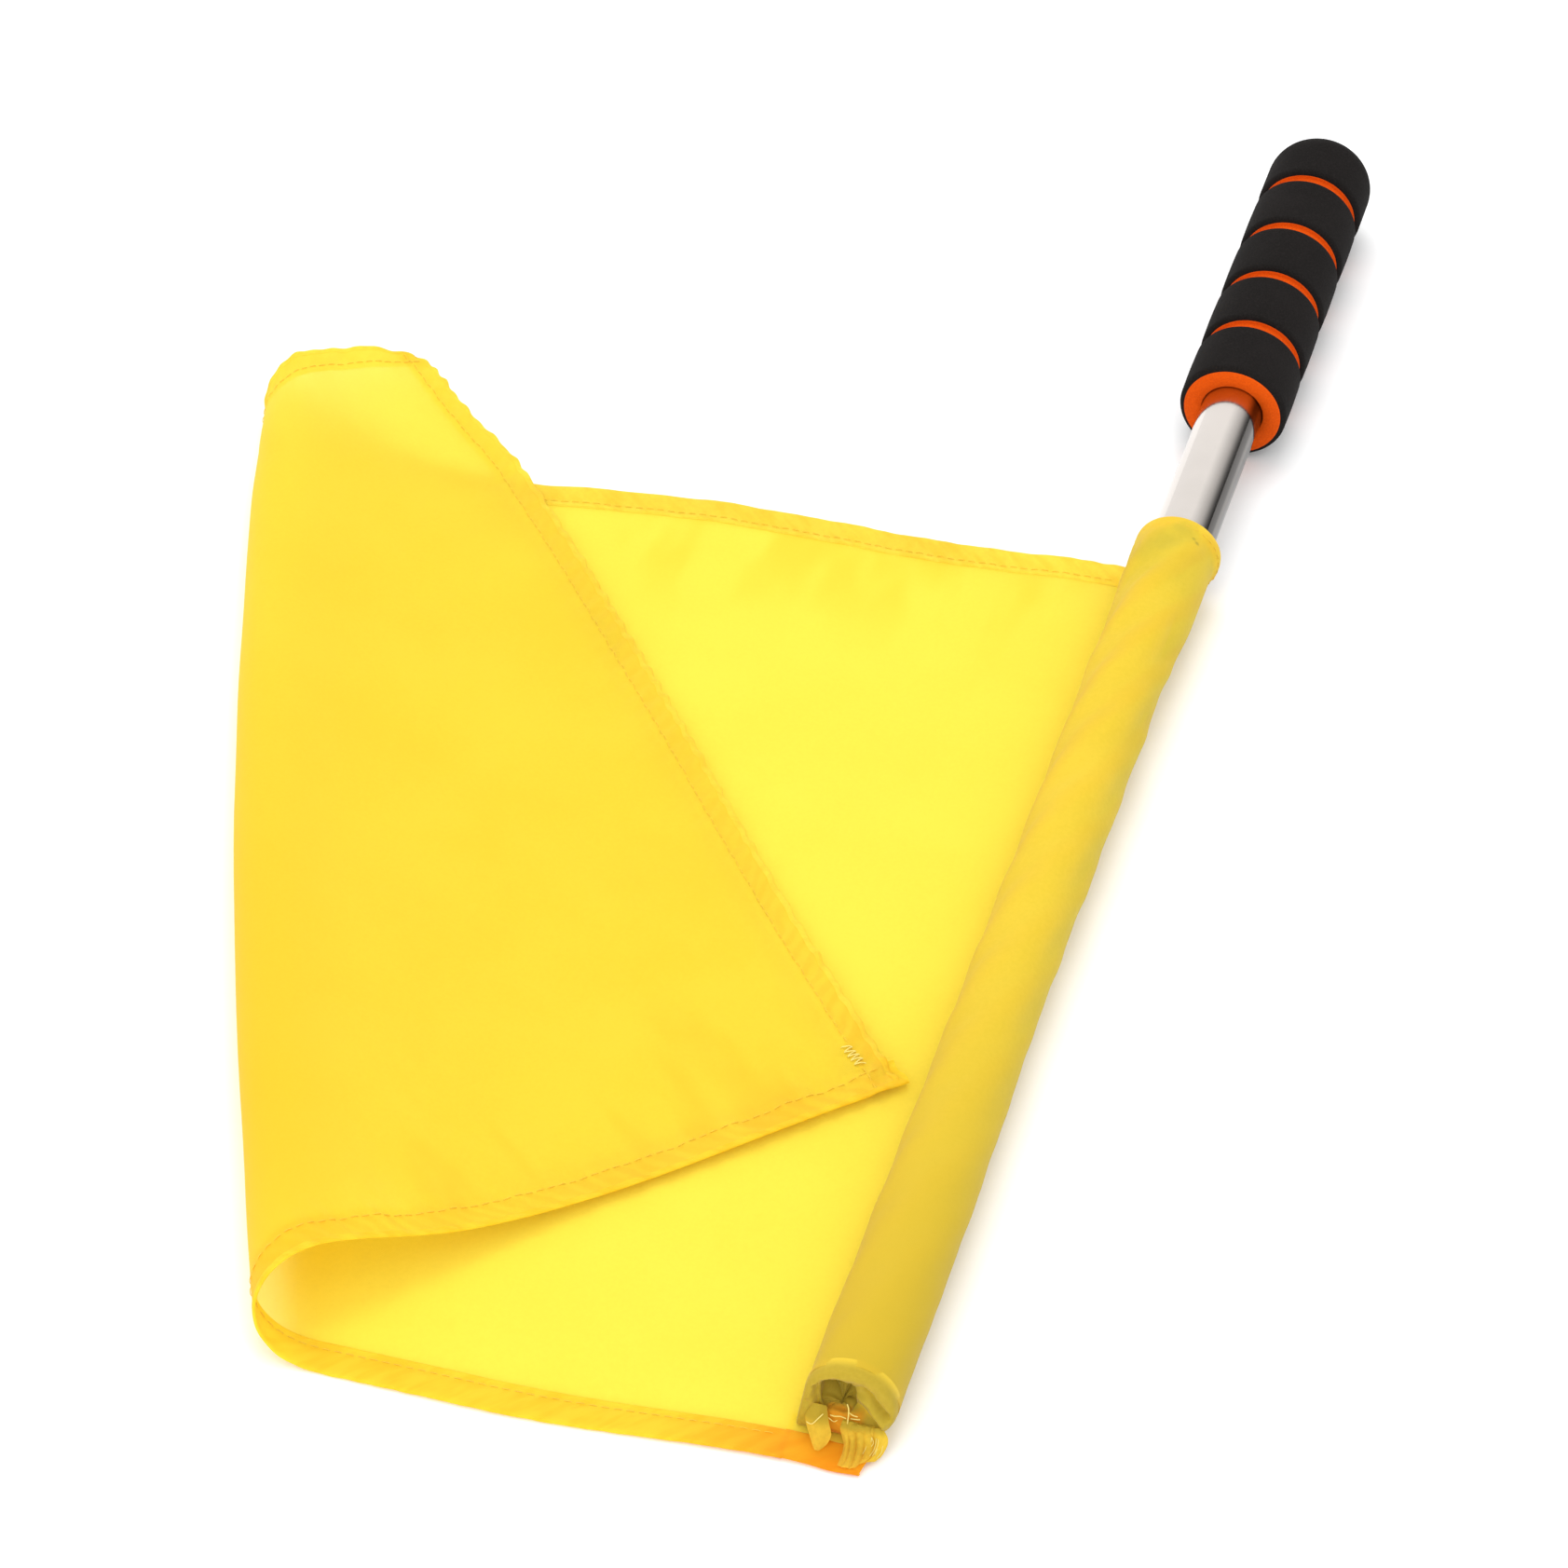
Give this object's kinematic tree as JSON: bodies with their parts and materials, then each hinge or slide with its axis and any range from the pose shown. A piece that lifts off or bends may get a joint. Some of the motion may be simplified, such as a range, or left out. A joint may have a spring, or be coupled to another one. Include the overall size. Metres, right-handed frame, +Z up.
{
  "type": "hand signal flag",
  "caption": "Square cloth signal flag sewn round a polished steel tube, with a ribbed foam hand grip and its free side rolled back over itself.",
  "frame": {"origin": "on the tube's axis, at the middle of the foam grip's straight part", "axes": "+Y along the tube from the tip to the grip's round end, +Z up off the surface that the flag lies on, the flag out to -X"},
  "size_m": [0.2945, 0.5445, 0.032],
  "materials": {
    "polished_steel": "polished",
    "black_foam": "matte",
    "orange_foam": "matte",
    "cloth": "matte",
    "hem": "matte",
    "thread": "satin",
    "tape": "matte"
  },
  "bodies": {
    "pole": {"pole_tube": "polished_steel", "grip_tape": "tape", "grip_core": "orange_foam", "grip_band_1": "black_foam", "grip_band_2": "black_foam", "grip_band_3": "black_foam", "grip_band_4": "black_foam", "grip_end_cap": "black_foam", "sleeve_tape": "tape", "pole_sleeve": "cloth", "sleeve_mouth_hem": "hem", "sleeve_stitches": "thread", "mouth_stitches": "thread", "tip_tuck": "cloth", "tip_tail_left": "cloth", "tip_tail_right": "cloth", "frayed_threads": "thread", "hem_corner": "hem"},
    "flag": {"flag_panel": "cloth", "top_hem": "hem", "bottom_hem": "hem", "fly_hem": "hem", "top_hem_stitches": "thread", "bottom_hem_stitches": "thread", "fly_hem_stitches": "thread", "corner_bartack": "thread"}
  },
  "joints": [
    {"name": "flag_swing", "type": "hinge", "parent": "pole", "child": "flag", "pos_m": [-0.0136, -0.3, -0.0113], "axis": [0, 1, 0], "range_deg": [0, 70]}
  ]
}
